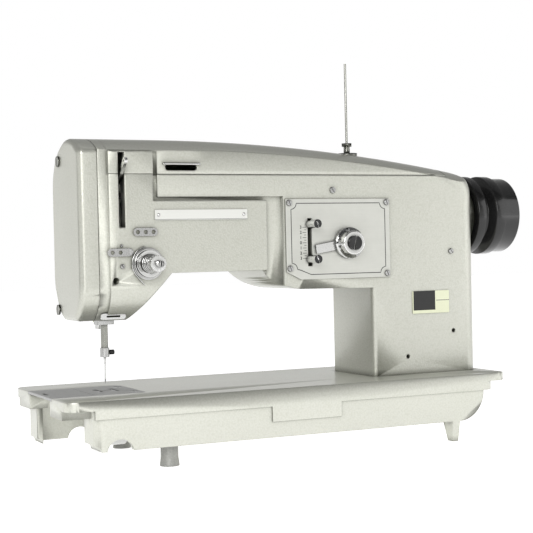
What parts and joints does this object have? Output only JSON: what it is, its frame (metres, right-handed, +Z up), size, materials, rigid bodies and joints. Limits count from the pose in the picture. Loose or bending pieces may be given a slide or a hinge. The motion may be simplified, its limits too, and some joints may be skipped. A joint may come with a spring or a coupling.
{
  "type": "sewing machine",
  "caption": "Flat-bed zigzag sewing machine head: hollow arm and column on a long bed, handwheel, stitch-width control, thread tension, take-up lever, needle and presser bars.",
  "frame": {"origin": "on the floor plane under the feet, at the middle of the overall length and of the bed's width", "axes": "+X from the needle end to the handwheel, +Y from the operator to the back, +Z up"},
  "size_m": [0.539, 0.178, 0.3995],
  "materials": {
    "bed_paint": "hammertone enamel",
    "arm_paint": "hammertone enamel",
    "steel": "turned and ground",
    "polished_steel": "polished",
    "chrome": "bright plating",
    "dark_iron": "as cast, oiled",
    "black_oxide": "blackened",
    "plate_metal": "satin etched plate",
    "badge_plate": "blank two-tone plate",
    "wheel_black": "gloss enamel",
    "belt_rubber": "cogged belt, matt",
    "bronze": "sintered bearing bronze"
  },
  "bodies": {
    "machine": {"bed": "bed_paint", "arm": "arm_paint", "top_cover": "arm_paint", "face_cover": "arm_paint", "cover_screws": "steel", "needle_plate": "polished_steel", "needle_plate_screws": "steel", "bed_feet": "dark_iron", "arm_bolts": "steel", "nameplate": "plate_metal", "nameplate_rivets": "polished_steel", "badge": "badge_plate", "regulator_plate": "plate_metal", "regulator_screws": "steel", "arm_screws": "steel", "tension_stud": "chrome", "tension_discs": "chrome", "tension_spring": "polished_steel", "check_spring": "polished_steel", "upper_thread_guide": "steel", "side_thread_guide": "steel", "head_thread_guide": "chrome", "arm_thread_guide": "chrome", "pivot_pins": "steel", "presser_bush": "bronze", "presser_spring": "steel", "main_bushes": "bronze", "timing_belt": "belt_rubber", "hook_bushes": "bronze", "bobbin_case": "steel", "spool_pin": "chrome"},
    "slide_plate": {"slide_plate": "polished_steel"},
    "width_lever": {"width_lever": "steel"},
    "width_knob": {"width_knob": "chrome", "width_knob_screw": "black_oxide"},
    "upper_stop": {"upper_width_stop": "chrome"},
    "lower_stop": {"lower_width_stop": "chrome"},
    "tension_nut": {"tension_nut": "chrome"},
    "take_up": {"take_up_lever": "chrome"},
    "needle_frame": {"needle_bar_frame": "steel"},
    "needle_bar": {"needle_bar": "polished_steel", "needle_bar_connector": "steel", "needle_clamp": "steel", "needle_clamp_screw": "black_oxide", "needle": "polished_steel"},
    "zigzag_rod": {"zigzag_rod": "steel"},
    "presser": {"presser_bar": "polished_steel", "presser_collar": "steel"},
    "lifter": {"presser_lifter": "steel"},
    "main_shaft": {"main_shaft": "steel", "crank_disc": "dark_iron", "handwheel": "wheel_black", "upper_pulley": "dark_iron"},
    "connecting_rod": {"connecting_rod": "steel"},
    "hook": {"hook_shaft": "steel", "lower_pulley": "dark_iron", "rotary_hook": "polished_steel"},
    "feed_rocker": {"feed_rock_shaft": "steel"},
    "feed": {"feed_bar": "dark_iron", "feed_dog": "steel"}
  },
  "joints": [
    {"name": "slide_plate_slide", "type": "slide", "parent": "machine", "child": "slide_plate", "axis": [-1, 0, 0], "range_m": [0, 0.04]},
    {"name": "width_lever_turn", "type": "hinge", "parent": "machine", "child": "width_lever", "pos_m": [0.0465, -0.046, 0.208], "axis": [0, 1, 0], "range_deg": [-28, 30]},
    {"name": "width_knob_turn", "type": "hinge", "parent": "width_lever", "child": "width_knob", "pos_m": [0.0465, -0.055, 0.208], "axis": [0, 1, 0], "range_deg": [-90, 90]},
    {"name": "upper_stop_slide", "type": "slide", "parent": "machine", "child": "upper_stop", "axis": [0, 0, 1], "range_m": [-0.01, 0.003]},
    {"name": "lower_stop_slide", "type": "slide", "parent": "machine", "child": "lower_stop", "axis": [0, 0, 1], "range_m": [-0.004, 0.01]},
    {"name": "tension_nut_turn", "type": "hinge", "parent": "machine", "child": "tension_nut", "pos_m": [-0.173, -0.072, 0.192], "axis": [0, 1, 0], "range_deg": [-360, 360]},
    {"name": "take_up_swing", "type": "hinge", "parent": "machine", "child": "take_up", "pos_m": [-0.1981, -0.02, 0.258], "axis": [1, 0, 0], "range_deg": [-5, 68]},
    {"name": "needle_frame_swing", "type": "hinge", "parent": "machine", "child": "needle_frame", "pos_m": [-0.2027, 0.003, 0.268], "axis": [0, 1, 0], "range_deg": [-1.2, 1.2]},
    {"name": "needle_bar_slide", "type": "slide", "parent": "needle_frame", "child": "needle_bar", "axis": [0, 0, 1], "range_m": [-0.028, 0]},
    {"name": "zigzag_rod_slide", "type": "slide", "parent": "machine", "child": "zigzag_rod", "axis": [1, 0, 0], "range_m": [-0.001, 0.001]},
    {"name": "presser_slide", "type": "slide", "parent": "machine", "child": "presser", "axis": [0, 0, 1], "range_m": [0, 0.006], "deforming": ["presser_spring"]},
    {"name": "presser_lifter_turn", "type": "hinge", "parent": "machine", "child": "lifter", "pos_m": [-0.1907, 0.04, 0.21057], "axis": [0, -1, 0], "range_deg": [0, 90]},
    {"name": "handwheel_spin", "type": "hinge", "parent": "machine", "child": "main_shaft", "pos_m": [0.0305, 0, 0.236], "axis": [1, 0, 0], "continuous": true},
    {"name": "connecting_rod_turn", "type": "hinge", "parent": "main_shaft", "child": "connecting_rod", "pos_m": [-0.177, 0, 0.25], "axis": [1, 0, 0], "continuous": true},
    {"name": "hook_spin", "type": "hinge", "parent": "machine", "child": "hook", "pos_m": [-0.0195, 0, 0.03], "axis": [1, 0, 0], "continuous": true},
    {"name": "feed_rock", "type": "hinge", "parent": "machine", "child": "feed_rocker", "pos_m": [-0.0195, 0.034, 0.044], "axis": [1, 0, 0], "range_deg": [-9.6, 9.6]},
    {"name": "feed_slide", "type": "slide", "parent": "machine", "child": "feed", "axis": [0, 1, 0], "range_m": [-0.002, 0.002]}
  ],
  "couplings": [
    {"joint": "connecting_rod_turn", "follows": "handwheel_spin", "ratio": -1},
    {"joint": "hook_spin", "follows": "handwheel_spin", "ratio": 2},
    {"joint": "zigzag_rod_slide", "follows": "needle_frame_swing", "m_per_rad": -0.046},
    {"joint": "presser_lifter_turn", "follows": "presser_slide", "rad_per_m": 261.7},
    {"joint": "feed_rock", "follows": "feed_slide", "rad_per_m": -83.3}
  ]
}
